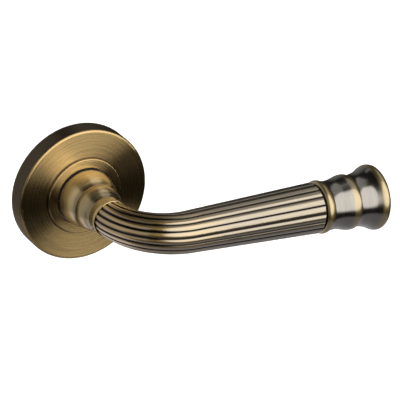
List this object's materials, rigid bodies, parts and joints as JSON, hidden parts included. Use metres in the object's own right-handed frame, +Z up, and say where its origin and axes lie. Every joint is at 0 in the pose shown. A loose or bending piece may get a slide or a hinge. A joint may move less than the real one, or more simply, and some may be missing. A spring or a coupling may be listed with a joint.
{
  "type": "door lever handle",
  "caption": "Sprung door lever on a round rose, with a turned neck, a reeded tapering grip and a flared finial.",
  "frame": {"origin": "on the spindle's axis in the plane of the door's face", "axes": "+X along the lever towards the finial, +Y into the door along the spindle, +Z up"},
  "size_m": [0.1279, 0.0857, 0.052],
  "materials": {
    "antique_brass": "brushed, darkened, lacquered",
    "base_zinc": "raw zinc casting",
    "zinc_plated_steel": "bright zinc plate",
    "spring_steel": "oiled spring steel",
    "bearing_plastic": "moulded nylon",
    "raw_brass": "turned, uncoated"
  },
  "bodies": {
    "rose": {"rose_base": "base_zinc", "cover_snap_ring": "spring_steel", "fixing_posts": "raw_brass", "neck_bush": "bearing_plastic", "thrust_washer": "bearing_plastic", "return_spring": "spring_steel"},
    "lever": {"lever_neck": "antique_brass", "lever_arm": "antique_brass", "finial": "antique_brass", "neck_stud": "zinc_plated_steel", "arm_dowel": "zinc_plated_steel", "finial_stud": "zinc_plated_steel", "spindle": "zinc_plated_steel", "spindle_stop_pin": "spring_steel", "grub_screw": "spring_steel", "spring_driver": "zinc_plated_steel", "retaining_washer": "zinc_plated_steel", "wave_washer": "spring_steel", "circlip": "spring_steel"},
    "cover": {"rose_cover": "antique_brass"}
  },
  "joints": [
    {"name": "lever_turn", "type": "hinge", "parent": "rose", "child": "lever", "pos_m": [0, 0, 0], "axis": [0, 1, 0], "range_deg": [0, 45], "stiffness_Nm_per_rad": 1, "springref_deg": -28.65, "deforming": ["return_spring"]},
    {"name": "cover_slide", "type": "slide", "parent": "rose", "child": "cover", "axis": [0, -1, 0], "range_m": [0, 0.02]}
  ]
}
